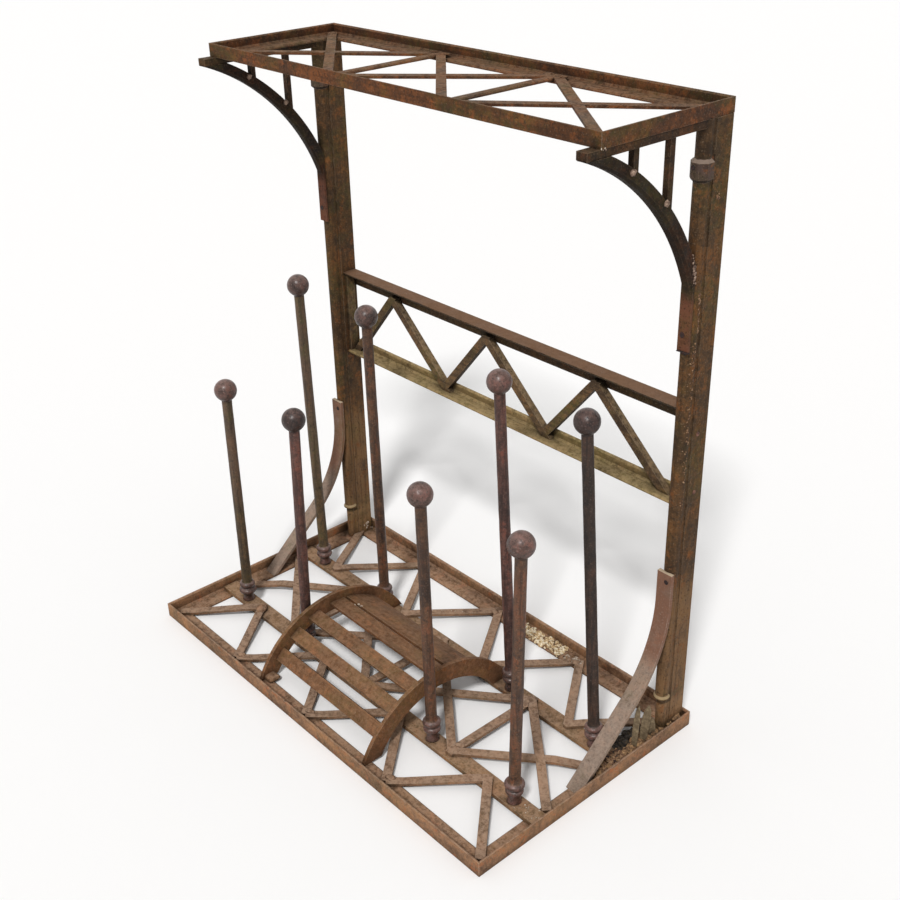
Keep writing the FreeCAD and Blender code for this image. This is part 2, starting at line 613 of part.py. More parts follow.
def build_shelf_and_truss():
    depth = SHELF_BACK_Y - SHELF_FRONT_Y
    centre_y = (SHELF_FRONT_Y + SHELF_BACK_Y) / 2
    angle_frame("shelf", SHELF_LENGTH, depth, centre_y, SHELF_Z, SHELF_FLANGE, SHELF_LEG)
    shelf_lattice()
    bottom_rail = truss_rail(TRUSS_BOTTOM_Z, TRUSS_LOW_FLANGE, False)
    top_rail = truss_rail(TRUSS_TOP_Z, TRUSS_HIGH_FLANGE, True)
    save("truss_bottom_rail", bottom_rail)
    save("truss_top_rail", top_rail)
    stile = truss_stile()
    save_pair("truss_stile", stile)
    bars = truss_bars([bottom_rail, top_rail, stile, mirrored(stile)])
    for i in range(len(TRUSS_NODES)):
        save("truss_vee_%d" % (i + 1), *bars[2 * i:2 * i + 2])


os.makedirs("parts", exist_ok=True)
right_pilaster = upright()
build_tray([right_pilaster, mirrored(right_pilaster)])
build_posts()
build_scraper()
build_back(right_pilaster)
build_shelf_and_truss()
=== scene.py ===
import json
import math
import random

import bmesh
import bpy
from mathutils import Matrix, Vector, noise
from mathutils.bvhtree import BVHTree


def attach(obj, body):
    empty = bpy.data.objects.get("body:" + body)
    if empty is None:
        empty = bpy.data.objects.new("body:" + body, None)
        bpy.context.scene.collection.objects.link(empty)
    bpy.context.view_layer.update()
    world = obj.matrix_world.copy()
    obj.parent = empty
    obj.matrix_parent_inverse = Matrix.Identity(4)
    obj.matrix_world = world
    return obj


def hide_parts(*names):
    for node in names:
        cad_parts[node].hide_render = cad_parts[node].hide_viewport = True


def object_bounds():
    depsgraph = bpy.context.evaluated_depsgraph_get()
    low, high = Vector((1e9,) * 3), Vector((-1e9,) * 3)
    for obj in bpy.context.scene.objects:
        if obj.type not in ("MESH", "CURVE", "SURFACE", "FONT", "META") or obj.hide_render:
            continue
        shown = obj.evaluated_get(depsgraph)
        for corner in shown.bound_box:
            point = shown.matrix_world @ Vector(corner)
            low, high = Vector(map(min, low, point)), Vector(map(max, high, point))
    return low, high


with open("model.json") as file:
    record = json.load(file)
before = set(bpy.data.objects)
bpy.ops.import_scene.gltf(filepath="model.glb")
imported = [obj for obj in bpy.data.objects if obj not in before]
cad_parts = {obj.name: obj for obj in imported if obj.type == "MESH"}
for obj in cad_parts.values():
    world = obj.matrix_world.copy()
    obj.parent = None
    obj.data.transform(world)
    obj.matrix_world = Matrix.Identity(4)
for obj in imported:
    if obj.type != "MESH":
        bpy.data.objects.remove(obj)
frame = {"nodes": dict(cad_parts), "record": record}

cad_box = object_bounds()

# ---- driving values ----------------------------------------------------------------------------
CAMERA_PLACE = (1.2462, -0.9851, 1.2633)
CAMERA_AZIMUTH = 49.03            # degrees from straight in front, towards the right
CAMERA_ELEVATION = 28.50
CAMERA_ROLL = -1.494
CAMERA_LENS = 48.58               # mm on the default 36 mm sensor

FLOOR_HALF = 40.0
FLOOR_LEVEL = -0.0004
FLOOR_COLOUR = "fcfbfa"
FLOOR_ROUGHNESS = 0.9
WORLD_STRENGTH = 0.50             # of the sky as a lamp
BACKGROUND_STRENGTH = 1.0         # of the sky where it is seen or mirrored
KEY_STRENGTH = 2.15
KEY_SOFTNESS = 9.0                # degrees across the sky
KEY_DIRECTION = (0.354, -0.537, 0.766)

SHAFT_RADIUS = 0.0086
SHAFT_TAPER = 0.0003              # how much slimmer the shaft is at the ball
SHAFT_STEPS = 30
SHAFT_CLEARANCE = 0.002           # of the shaft's lower end above the rings
NECK_CLEARANCE = 0.001            # of its upper end below the ball
BALL_RADIUS = 0.0183
BALL_STEPS = 28
BALL_CROWN = 86                   # degrees up from outward where the ball's last ring lies
STUB_RADIUS = 0.0092
# how far the stub swells beyond its radius where it meets the rail, and at which height
STUB_SWELL = ((0.0016, 0.0), (0.0012, 0.0014), (0.0, 0.0036), (-0.0003, 0.009))
RING_SECTION = 0.0052             # half the height of a ring
RING_LEVELS = (0.0200, 0.0318)    # ring centres above the rail
RING_TOP = RING_LEVELS[1] + RING_SECTION
RING_ARC = 76                     # degrees that a ring's face curves up and down from outward
RING_STEPS = 12
RING_RADII = {                    # each post's lower and upper ring, which were forged by hand
    "front": ((0.0150, 0.0132), (0.0142, 0.0138), (0.0132, 0.0140), (0.0132, 0.0148)),
    "rear": ((0.0140, 0.0136), (0.0146, 0.0138), (0.0136, 0.0142), (0.0140, 0.0138)),
}
POST_SIDES = 44
POST_WOBBLE = 0.00024             # how far hammer marks move the surface
FOOT_TOLERANCE = 1e-5             # height within which a solid's points count as its foot
DENTS = (55, 160)                 # broad and fine hammer marks, per metre

UPRIGHT_X = 0.380                 # centre of each upright, left and right
WEB_X = 0.390                     # outer side of its web
HEAD_SIDES = 20                   # round rivet heads and hollows
HEAD_WOBBLE = 0.0002

BOX_MARGIN = 0.0004               # how far loose scale stays inside the rack's box
LUMPS = (1.6, 3.7)                # broad and fine swellings of a lump, per half size
NOISE_SPAN = 50                   # over which lumps draw their place in the noise
HALF_TURN, FULL_TURN = 3.14, 6.28     # radians, near enough for a random spin
UP = Vector((0, 0, 1))
DOWN = Vector((0, 0, -1))


# ---- shaders -----------------------------------------------------------------------------------
REACH_BLEND = 0.0005              # half the way over which a level's reach fades out


def linear(hexadecimal):
    """Scene-linear RGBA of a colour written as an sRGB hex string."""
    channels = [int(hexadecimal[i:i + 2], 16) / 255 for i in (0, 2, 4)]
    lit = [c / 12.92 if c <= 0.04045 else ((c + 0.055) / 1.055) ** 2.4 for c in channels]
    return (*lit, 1.0)


class Shader:
    """One node material in the making. Textures use object coordinates: metres in the frame."""

    def __init__(self, name):
        self.material = bpy.data.materials.new(name)
        self.material.use_nodes = True
        self.tree = self.material.node_tree
        self.tree.nodes.clear()
        self.place = self.add("ShaderNodeTexCoord").outputs["Object"]

    def add(self, kind, inputs=None, **settings):
        """A node with its inputs linked or set to constants."""
        node = self.tree.nodes.new(kind)
        for key, value in settings.items():
            setattr(node, key, value)
        for key, value in (inputs or {}).items():
            if isinstance(value, bpy.types.NodeSocket):
                self.tree.links.new(value, node.inputs[key])
            else:
                node.inputs[key].default_value = value
        return node

    def stretched(self, scale):
        inputs = {"Vector": self.place, "Scale": scale}
        return self.add("ShaderNodeMapping", inputs).outputs["Vector"]

    def noise(self, scale, detail=4.0, roughness=0.6, distortion=0.0, vector=None):
        inputs = {"Vector": vector or self.place, "Scale": scale, "Detail": detail,
                  "Roughness": roughness, "Distortion": distortion}
        return self.add("ShaderNodeTexNoise", inputs).outputs["Fac"]

    def band(self, value, low, high, start=0.0, end=1.0):
        """A smooth step from start to end as value goes from low to high."""
        inputs = {"Value": value, "From Min": low, "From Max": high, "To Min": start,
                  "To Max": end}
        node = self.add("ShaderNodeMapRange", inputs, interpolation_type="SMOOTHSTEP")
        return node.outputs["Result"]

    def maths(self, operation, a, b):
        return self.add("ShaderNodeMath", {0: a, 1: b}, operation=operation).outputs[0]

    def times(self, a, b):
        return self.maths("MULTIPLY", a, b)

    def sum(self, *terms):
        """Weighted sum of (socket, weight) pairs."""
        total = None
        for socket, weight in terms:
            scaled = self.times(socket, weight)
            total = scaled if total is None else self.maths("ADD", total, scaled)
        return total

    def mixed(self, factor, under, over, blend="MIX"):
        inputs = {0: factor, 6: under, 7: over}
        return self.add("ShaderNodeMix", inputs, data_type="RGBA", blend_type=blend).outputs[2]

    def coated(self, colour, tint, mask, share=1.0):
        """A colour with a tint laid over it where mask is 1, as strongly as share says."""
        factor = mask if share == 1.0 else self.times(mask, share)
        return self.mixed(factor, colour, linear(tint))

    def ramp(self, value, *stops):
        """Colours along value, as (position, hex) pairs."""
        node = self.add("ShaderNodeValToRGB", {"Fac": value})
        elements = node.color_ramp.elements
        while len(elements) < len(stops):
            elements.new(0.5)
        for element, (position, colour) in zip(elements, stops):
            element.position = position
            element.color = linear(colour)
        return node.outputs["Color"]

    def surface_normal(self):
        return self.add("ShaderNodeNewGeometry").outputs["Normal"]

    def rounded_normal(self, radius):
        return self.add("ShaderNodeBevel", {"Radius": radius}, samples=4).outputs["Normal"]

    def bumped(self, height, strength, distance, normal=None):
        inputs = {"Strength": strength, "Distance": distance, "Height": height}
        if normal is not None:
            inputs["Normal"] = normal
        return self.add("ShaderNodeBump", inputs).outputs["Normal"]

    def facing_up(self, low, high):
        """A smooth step in how far the surface faces up: 1 for level tops, -1 for undersides."""
        inputs = {"Vector": self.surface_normal()}
        upward = self.add("ShaderNodeSeparateXYZ", inputs).outputs["Z"]
        return self.band(upward, low, high)

    def edges(self, rounded, low, high):
        """1 on sharp edges, 0 on flats."""
        inputs = {0: rounded, 1: self.surface_normal()}
        node = self.add("ShaderNodeVectorMath", inputs, operation="DOT_PRODUCT")
        return self.band(node.outputs["Value"], 1 - low, 1 - high)

    def level_band(self, low, high, blend, reach):
        """1 between two heights and in front of the plane y = reach, fading out over blend."""
        place = self.add("ShaderNodeSeparateXYZ", {"Vector": self.place}).outputs
        between = self.times(self.band(place["Z"], low - blend, low),
                             self.band(place["Z"], high, high + blend, 1.0, 0.0))
        in_front = self.band(place["Y"], reach - REACH_BLEND, reach + REACH_BLEND, 1.0, 0.0)
        return self.times(between, in_front)

    def with_painted_corner_shade(self, colour, distance, low, high, depth):
        """Painted corner shade: colour goes down to depth where corners hide more than low to high
        of the sky.
        """
        node = self.add("ShaderNodeAmbientOcclusion", {"Distance": distance}, samples=6)
        shade = self.band(node.outputs["AO"], low, high, depth, 1.0)
        grey = self.ramp(shade, (0.0, "000000"), (1.0, "ffffff"))
        return self.mixed(1.0, colour, grey, "MULTIPLY")

    def finish(self, colour, roughness, normal, specular=0.5):
        inputs = {"Base Color": colour, "Roughness": roughness, "Normal": normal,
                  "Specular IOR Level": specular}
        surface = self.add("ShaderNodeBsdfPrincipled", inputs)
        self.add("ShaderNodeOutputMaterial", {"Surface": surface.outputs["BSDF"]})
        return self.material


# ---- weathered iron ----------------------------------------------------------------------------
EDGE_RADIUS = 0.0014              # to which sharp edges are rounded in the light
PIT_DEPTH = 0.0008
CORNER_SHADE_DISTANCE = 0.022           # how near other iron darkens a surface with painted corner shade
MOSS_COLOUR = "585426"
# painted shade: the colour that surfaces facing down go towards
UNDERSIDE_SHADE_COLOUR = "1e1610"


def iron(name, colours, dust_and_top_light, rusty, moss=0.0, worn=0.6, streak=None, streaky=0.65, underside_shade=0.75,
         shaded=(-0.75, -0.15), pitted=0.70, depth=0.30, roughness=(0.62, 0.90), specular=0.15,
         bump=0.75, levels=(), painted_top_lights=()):
    """Brown patches over dark scale, orange bloom, a pale top that is part dusting and part
    painted light, moss, rubbed edges, and painted shade on undersides and in tight corners.

    colours are six hex values: dark scale, brown, warm brown, rust, the pale top tint and rubbed
    edge. dust_and_top_light, rusty, moss, worn, streaky, underside_shade and pitted say how
    strongly each coat shows. streak is the texture scale of dark streaks. levels gives (low, high,
    blend, reach, tint, share) for what has another colour by height, and painted_top_lights the
    same for painted top light on what faces up there. shaded is the span of facing up over which
    the painted underside shade fades out, and depth is how dark the painted shade in tight corners
    goes.
    """
    dark, middle, warm, rust, dust_and_light_tint, edge = colours.split()
    shader = Shader(name)
    clouds = shader.noise(5.0, detail=3.0)
    patches = shader.noise(26.0, detail=5.0, roughness=0.62, distortion=0.6)
    blotches = shader.noise(125.0, detail=5.0, roughness=0.70)
    grains = shader.noise(430.0, detail=3.0, roughness=0.7)
    tone = shader.sum((clouds, 0.22), (patches, 0.33), (blotches, 0.30), (grains, 0.15))
    colour = shader.ramp(tone, (0.41, dark), (0.50, middle), (0.58, warm))
    for *extent, tint, share in levels:
        patchy = shader.band(patches, 0.34, 0.50, 0.55, 1.0)
        within = shader.times(shader.level_band(*extent), patchy)
        colour = shader.coated(colour, tint, within, share)
    rust_patches = shader.noise(40.0, detail=6.0, roughness=0.7)
    bloom = shader.times(shader.band(rust_patches, 0.52, 0.62), shader.band(blotches, 0.42, 0.56))
    colour = shader.coated(colour, rust, bloom, rusty)
    if streak:
        lines = shader.noise(1.0, detail=5.0, vector=shader.stretched(streak))
        colour = shader.coated(colour, dark, shader.band(lines, 0.46, 0.62, 0.0, streaky))
    if moss:
        green = shader.times(shader.band(shader.noise(11.0), 0.46, 0.60),
                             shader.band(shader.noise(140.0), 0.38, 0.60, 0.25, 1.0))
        colour = shader.coated(colour, MOSS_COLOUR, green, moss)
    # pale tops: partly real dusting, partly painted top light
    dust_and_light_mask = shader.times(shader.facing_up(0.35, 0.95),
                           shader.band(blotches, 0.36, 0.58, 0.15, 1.0))
    colour = shader.coated(colour, dust_and_light_tint, dust_and_light_mask, dust_and_top_light)
    pits = shader.band(shader.noise(280.0, detail=3.0, roughness=0.75), 0.55, 0.64)
    colour = shader.coated(colour, dark, pits, pitted)
    flecks = shader.band(shader.noise(470.0, detail=2.0), 0.60, 0.67, 0.0, 0.22)
    colour = shader.coated(colour, edge, flecks)
    rounded = shader.rounded_normal(EDGE_RADIUS)
    rubbed = shader.times(shader.edges(rounded, 0.02, 0.16),
                          shader.band(shader.noise(75.0), 0.34, 0.58))
    colour = shader.coated(colour, edge, rubbed, worn)
    # painted top light: listed height bands made lighter where they face up
    for *extent, tint, share in painted_top_lights:
        within = shader.times(shader.level_band(*extent), shader.facing_up(0.05, 0.35))
        colour = shader.coated(colour, tint, within, share)
    # painted shade: undersides darkened towards the underside shade colour
    under = shader.maths("SUBTRACT", 1.0, shader.facing_up(*shaded))
    colour = shader.coated(colour, UNDERSIDE_SHADE_COLOUR, under, underside_shade)
    # painted shade in tight corners, from ambient occlusion
    colour = shader.with_painted_corner_shade(colour, CORNER_SHADE_DISTANCE, 0.20, 0.92, depth)
    height = shader.sum((shader.noise(95.0), 0.50), (grains, 0.30), (pits, -0.45),
                        (shader.noise(900.0, detail=2.0), 0.10))
    gloss = shader.band(shader.sum((patches, 0.6), (grains, 0.4)), 0.38, 0.62, *roughness)
    normal = shader.bumped(height, bump, PIT_DEPTH, rounded)
    return shader.finish(colour, gloss, normal, specular)


UPWARDS = (170.0, 170.0, 9.0)     # streaks along Z
SIDEWAYS = (9.0, 170.0, 170.0)    # streaks along X
ALL = 1.0                         # reach of a level that takes in front and back alike
COLONETTE = 0.1820                # reach of a level that leaves the uprights' webs out
TRAY_FINISH = dict(underside_shade=0.5, pitted=0.5)
SHAFT_FINISH = dict(dust_and_top_light=0.25, worn=0.5, streak=UPWARDS, roughness=(0.42, 0.66), specular=0.30,
                    bump=0.6)
# balls: painted underside shade reaches from the bottom to a little above the middle
BALL_FINISH = dict(worn=0.5, rusty=0.3, shaded=(-0.95, 0.40), underside_shade=0.60, roughness=(0.27, 0.40),
                   bump=0.45)

SLOT_FINISHES = {
    "tray_iron": ("5a402e 8b694e a57855 a65d33 b0937c bfa994",
                  dict(dust_and_top_light=0.45, rusty=0.6, moss=0.18, **TRAY_FINISH)),
    "lattice_iron": ("5d4636 876952 9f7a5f a06a43 b0957f c0ab98",
                     dict(dust_and_top_light=0.55, rusty=0.4, moss=0.15, **TRAY_FINISH)),
    "rail_iron": ("59422e 85674b a07754 a56535 ac8f76 b9a48e",
                  dict(dust_and_top_light=0.50, rusty=0.5, moss=0.22, **TRAY_FINISH)),
    "post_iron": ("2d1f18 573d2b 6e4631 7b4427 8a7263 9a8372", dict(rusty=0.5, **SHAFT_FINISH)),
    "scraper_iron": ("5a3d26 765239 8b6040 9a5a2c 9a7f66 b0957b",
                     dict(dust_and_top_light=0.25, rusty=0.45, moss=0.25, streak=SIDEWAYS, streaky=0.5,
                          pitted=0.4)),
    "upright_iron": ("2f2216 4e3925 694729 7a4723 8b7560 9c846c",
                     dict(dust_and_top_light=0.45, rusty=0.55, moss=0.25, streak=UPWARDS, streaky=0.40,
                          # the uprights' painted corner shade goes less dark
                          depth=0.45,
                          # painted light: the lowest part lighter and the foot lighter still;
                          # painted shade: a dark line under the bead
                          levels=((-0.010, 0.240, 0.060, ALL, "795b3e", 0.75),
                                  (-0.010, 0.060, 0.012, ALL, "8a694a", 0.6),
                                  (0.0610, 0.0655, 0.0010, COLONETTE, "2c2014", 0.8),
                                  (0.850, 0.878, 0.0015, COLONETTE, "4f403c", 0.85)),
                          # painted top light on the bead's and the capital's tops
                          painted_top_lights=((0.070, 0.078, 0.0010, COLONETTE, "a8926f", 0.75),
                                  (0.872, 0.880, 0.0010, COLONETTE, "8d7b6e", 0.7)))),
    "shelf_iron": ("332115 573722 74472a 854b26 8c7158 9d8570",
                   dict(dust_and_top_light=0.50, rusty=0.6, moss=0.30, streak=SIDEWAYS, streaky=0.5)),
    "truss_iron": ("382b1f 5c4833 7a5d3f 805631 917c5f a8937b",
                   dict(dust_and_top_light=0.65, rusty=0.4, moss=0.45, streak=SIDEWAYS)),
}
IRONS = {slot: iron(slot, colours, **finish)
         for slot, (colours, finish) in SLOT_FINISHES.items()}

# bars and posts whose iron differs from the rest of their slot
RUBBED_POST = iron("rubbed_post_iron", "2c1f1b 573f37 77524a 6d3e2c 8a736b a8988f", dust_and_top_light=0.40,
                   specular=0.38, **BALL_FINISH)
SHADED_BALL = iron("shaded_ball_iron", "15100f 2d201c 412d27 452a20 705851 947f78", dust_and_top_light=0.60,
                   specular=0.34, **BALL_FINISH)
SHADED_POST = iron("shaded_post_iron", "18110f 32251d 443127 4c2d1c 6b5a50 82736a", rusty=0.4,
                   **SHAFT_FINISH)
OLIVE_POST = iron("olive_post_iron", "2b2117 52422d 694e34 6b4729 86735d 968570", rusty=0.35,
                  moss=0.30, levels=((0.230, 0.620, 0.060, ALL, "5b463a", 0.6),),
                  **SHAFT_FINISH)
WINE_POST = iron("wine_post_iron", "2d1d19 583c34 6e463b 783e2d 8a736c 9b867d", rusty=0.45,
                 **SHAFT_FINISH)
BRACE_IRON = iron("brace_iron", "6b574a 877567 957b69 8f6149 a39284 bcab9b", dust_and_top_light=0.45,
                  rusty=0.25, moss=0.30, underside_shade=0.85, pitted=0.4,
                  levels=((0.175, 0.330, 0.035, ALL, "76513f", 0.85),),
                  # painted highlight along the brace's top edge
                  painted_top_lights=((0.290, 0.300, 0.001, ALL, "cdb89c", 0.9),))
LOW_RAIL = iron("low_truss_rail_iron", "5b4a2f 8f7851 a0845c 93683c a6926c bba680", dust_and_top_light=0.55,
                rusty=0.35, moss=0.45, streak=SIDEWAYS, streaky=0.4)
# painted shade: a darker copy for the top rail, whose flange lies in its leg's shadow, with
# painted top light on what faces up
SHADED_HIGH_RAIL = iron("shaded_high_truss_rail_iron", "281d13 443220 5b422b 5f3d26 8a6f5a a08b78", dust_and_top_light=0.50,
                 rusty=0.4, moss=0.15, streak=SIDEWAYS, streaky=0.4,
                 painted_top_lights=((0.100, 0.900, 0.001, ALL, "7a5b45", 0.75),))
# painted shade: a darker copy for the bows, which lie in the shelf's shadow, with a lighter
# reddish band at the foot
SHADED_BOW_IRON = iron("shaded_bow_iron", "130c07 22160d 362216 3f2315 68513d 7d654f", dust_and_top_light=0.45, rusty=0.45,
                moss=0.20, levels=((0.625, 0.690, 0.030, ALL, "6a4130", 0.85),))
# painted shade: a darker copy for the bracket bars and struts in the shelf's shadow
SHADED_HANGER_IRON = iron("shaded_hanger_iron", "1d130c 3a2819 533723 552f1b 705a44 8a715b", dust_and_top_light=0.40,
                   rusty=0.45, moss=0.15)

PLAIN_COATS = (IRONS["post_iron"], RUBBED_POST, RUBBED_POST)     # shaft, ball, rings
OTHER_COATS = {
    "front_boot_post_1": (OLIVE_POST, RUBBED_POST, RUBBED_POST),
    "front_boot_post_2": (WINE_POST, SHADED_BALL, RUBBED_POST),
    "rear_boot_post_1": (OLIVE_POST, RUBBED_POST, RUBBED_POST),
    "rear_boot_post_3": (WINE_POST, RUBBED_POST, RUBBED_POST),
    "rear_boot_post_4": (SHADED_POST, SHADED_BALL, RUBBED_POST),
}
OTHER_IRONS = {"truss_bottom_rail": LOW_RAIL, "truss_top_rail": SHADED_HIGH_RAIL}
for side in ("left", "right"):
    OTHER_IRONS[side + "_foot_brace"] = BRACE_IRON
    OTHER_IRONS[side + "_bracket_bow"] = SHADED_BOW_IRON
    OTHER_IRONS[side + "_bracket_bar"] = SHADED_HANGER_IRON
    OTHER_IRONS[side + "_bracket_struts"] = SHADED_HANGER_IRON


# ---- loose scale and bare weld -----------------------------------------------------------------
CRUMB_SHADE_DISTANCE = 0.005
CRUMB_RELIEF = 0.0004
CRUMB_ROUGHNESS = 0.82


def crumbling(name, stops, colours, bump=0.5):
    """Tones along a fine noise."""
    shader = Shader(name)
    tone = shader.sum((shader.noise(190.0, detail=3.0), 0.65),
                      (shader.noise(800.0, detail=3.0), 0.35))
    colour = shader.ramp(tone, *zip(stops, colours.split()))
    # painted shade in the crumbs' tight corners
    colour = shader.with_painted_corner_shade(colour, CRUMB_SHADE_DISTANCE, 0.15, 0.85, 0.35)
    normal = shader.bumped(shader.noise(650.0, detail=3.0), bump, CRUMB_RELIEF)
    return shader.finish(colour, CRUMB_ROUGHNESS, normal)


GOLD_CRUST = crumbling("gold_crust", (0.38, 0.45, 0.51, 0.58), "7d5c3c bd9c6f e0c9a0 f6ecd6")
BROWN_CRUST = crumbling("brown_crust", (0.40, 0.48, 0.54, 0.62), "3a261a 6b4a33 8c6a4a a98c6c")
PALE_CRUST = crumbling("pale_crust", (0.40, 0.48, 0.56, 0.64), "7a6353 a08c78 c9b8a5 e0d5c8")
OLIVE_FLAKE = crumbling("olive_flake", (0.36, 0.48, 0.56, 0.68), "54452f 665640 75644a 8b7a5e",
                        bump=0.25)
EARTH_CRUST = crumbling("earth_crust", (0.38, 0.48, 0.56, 0.66), "49341f 74563a 96734d b9966c")
PEENED_IRON = crumbling("peened_iron", (0.40, 0.49, 0.57, 0.66), "4f3c31 70594b 8d7564 c0aa95")
# near-black lumps: painted shadow beside the right foot
PAINTED_SHADOW_CRUST = crumbling("dark_crust", (0.38, 0.50, 0.60, 0.70), "17110b 2b2115 44351f 5e4a31")
WORN_RIVET = crumbling("worn_rivet", (0.40, 0.50, 0.62), "33201a 5b3a2c 7d5644", bump=0.3)
# near black: painted shade in rivet holes and under the right bow's foot; also the red-black chips
# by the right foot
HOLLOW = crumbling("rivet_hollow", (0.40, 0.50, 0.62), "0d0706 1e0e09 38180e")


# ---- mesh helpers ------------------------------------------------------------------------------
def add_piece(name, mesh, materials, smooth=True):
    """A mesh as a piece of the rack, riding on its one body."""
    piece = bpy.data.objects.new(name, mesh)
    bpy.context.scene.collection.objects.link(piece)
    for material in materials:
        mesh.materials.append(material)
    for face in mesh.polygons:
        face.use_smooth = smooth
    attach(piece, "root")
    return piece


def mesh_from(name, build):
    """A new mesh filled by build(bm)."""
    bm = bmesh.new()
    build(bm)
    bmesh.ops.recalc_face_normals(bm, faces=bm.faces)
    mesh = bpy.data.meshes.new(name)
    bm.to_mesh(mesh)
    bm.free()
    return mesh


def frame_along(axis):
    """Rotation that turns +Z onto an axis."""
    return UP.rotation_difference(axis.normalized()).to_matrix()


def turned(facing, spin):
    """Axes of something lying on a surface: Z along its facing, spun about it."""
    return frame_along(facing) @ Matrix.Rotation(spin, 3, "Z")


def lathe(bm, profile, origin, axis, sides, wobble):
    """Turns (radius, height) points about an axis, with dents about as deep as wobble. A radius
    of 0 at either end closes it on a point."""
    turn = frame_along(axis)
    broad, fine = DENTS
    rings = []
    for radius, height in profile:
        ring = []
        for i in range(sides if radius else 1):
            angle = 2 * math.pi * i / sides
            local = Vector((radius * math.cos(angle), radius * math.sin(angle), height))
            place = origin + turn @ local
            if radius:
                outward = turn @ Vector((math.cos(angle), math.sin(angle), 0))
                dent = noise.noise(place * broad) + 0.5 * noise.noise(place * fine)
                place += outward * dent * wobble
            ring.append(bm.verts.new(place))
        rings.append(ring)
    for low, high in zip(rings, rings[1:]):
        for i in range(sides):
            corners = [low[i % len(low)], low[(i + 1) % len(low)],
                       high[(i + 1) % len(high)], high[i % len(high)]]
            corners = list(dict.fromkeys(corners))
            if len(corners) > 2:
                bm.faces.new(corners)
    if len(rings[0]) > 1:
        bm.faces.new(reversed(rings[0]))
    if len(rings[-1]) > 1:
        bm.faces.new(rings[-1])


def close_between(bm, rims):
    """Closed skin over a row of rims with equal numbers of points."""
    for low, high in zip(rims, rims[1:]):
        for i in range(len(low)):
            after = (i + 1) % len(low)
            bm.faces.new([low[i], low[after], high[after], high[i]])
    bm.faces.new(reversed(rims[0]))
    bm.faces.new(rims[-1])


def arc_points(centre, radius, start, end, steps):
    """(radius, height) points round a circle in the profile plane, from and to angles in degrees
    up from outward."""
    points = []
    for i in range(steps + 1):
        angle = math.radians(start + (end - start) * i / steps)
        points.append((centre[0] + radius * math.cos(angle), centre[1] + radius * math.sin(angle)))
    return points


def blob(bm, centre, half_sizes, turn, roughness, rng, detail=3):
    """An uneven rounded lump."""
    shift = Vector([rng.uniform(0, NOISE_SPAN) for _ in range(3)])
    broad, fine = LUMPS
    made = bmesh.ops.create_icosphere(bm, subdivisions=detail, radius=1.0)["verts"]
    for vertex in made:
        way = vertex.co.copy()
        bumps = noise.noise(way * broad + shift) + 0.5 * noise.noise(way * fine + shift)
        swell = 1 + roughness * bumps
        local = Vector([way[i] * half_sizes[i] * swell for i in range(3)])
        vertex.co = centre + turn @ local


# ---- the rack's surface, for what sits on it ---------------------------------------------------
def rack_surface():
    """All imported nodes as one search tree."""
    points, faces = [], []
    for obj in frame["nodes"].values():
        start = len(points)
        points += [vertex.co.copy() for vertex in obj.data.vertices]
        faces += [[start + i for i in face.vertices] for face in obj.data.polygons]
    return BVHTree.FromPolygons(points, faces)


SURFACE = rack_surface()


def seat_near(place):
    """Nearest point of the rack's surface, and the way it faces there."""
    point, facing, _, _ = SURFACE.find_nearest(Vector(place))
    return point, facing


def seat_below(x, y, height):
    """First surface straight below a point, and the way it faces, or None above bare floor."""
    point, facing, _, _ = SURFACE.ray_cast(Vector((x, y, height)), DOWN)
    return None if point is None else (point, facing)


# ---- packed bars -------------------------------------------------------------------------------
def dress_frame():
    """Every packed bar gets its slot's iron, or its own where it has one."""
    slots = {part["node"]: part["material_slot"] for part in frame["record"]["subparts"]}
    for node, obj in frame["nodes"].items():
        obj.data.materials.clear()
        obj.data.materials.append(OTHER_IRONS.get(node, IRONS[slots[node]]))


# ---- boot posts --------------------------------------------------------------------------------
def post_profile(ball_level, ring_radii):
    """Stub, two rounded rings, long shaft and ball."""
    profile = [(STUB_RADIUS + beyond, height) for beyond, height in STUB_SWELL]
    profile.append((STUB_RADIUS, RING_LEVELS[0] - RING_SECTION))
    for level, radius in zip(RING_LEVELS, ring_radii):
        centre = (radius - RING_SECTION, level)
        profile += arc_points(centre, RING_SECTION, -RING_ARC, RING_ARC, RING_STEPS)
    start = RING_TOP + SHAFT_CLEARANCE
    neck = math.degrees(math.acos((SHAFT_RADIUS - SHAFT_TAPER) / BALL_RADIUS))
    end = ball_level - BALL_RADIUS * math.sin(math.radians(neck)) - NECK_CLEARANCE
    for i in range(SHAFT_STEPS + 1):
        share = i / SHAFT_STEPS
        profile.append((SHAFT_RADIUS - SHAFT_TAPER * share, start + (end - start) * share))
    profile += arc_points((0.0, ball_level), BALL_RADIUS, -neck, BALL_CROWN, BALL_STEPS)
    return profile + [(0.0, ball_level + BALL_RADIUS)]


def post_axis(node):
    """Where a post stands on its rail and where its ball's pole is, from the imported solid."""
    points = [vertex.co for vertex in frame["nodes"][node].data.vertices]
    low = min(point.z for point in points)
    foot = [point for point in points if point.z < low + FOOT_TOLERANCE]
    middle = [(min(p[i] for p in foot) + max(p[i] for p in foot)) / 2 for i in (0, 1)]
    return Vector((*middle, low)), max(points, key=lambda point: point.z).copy()


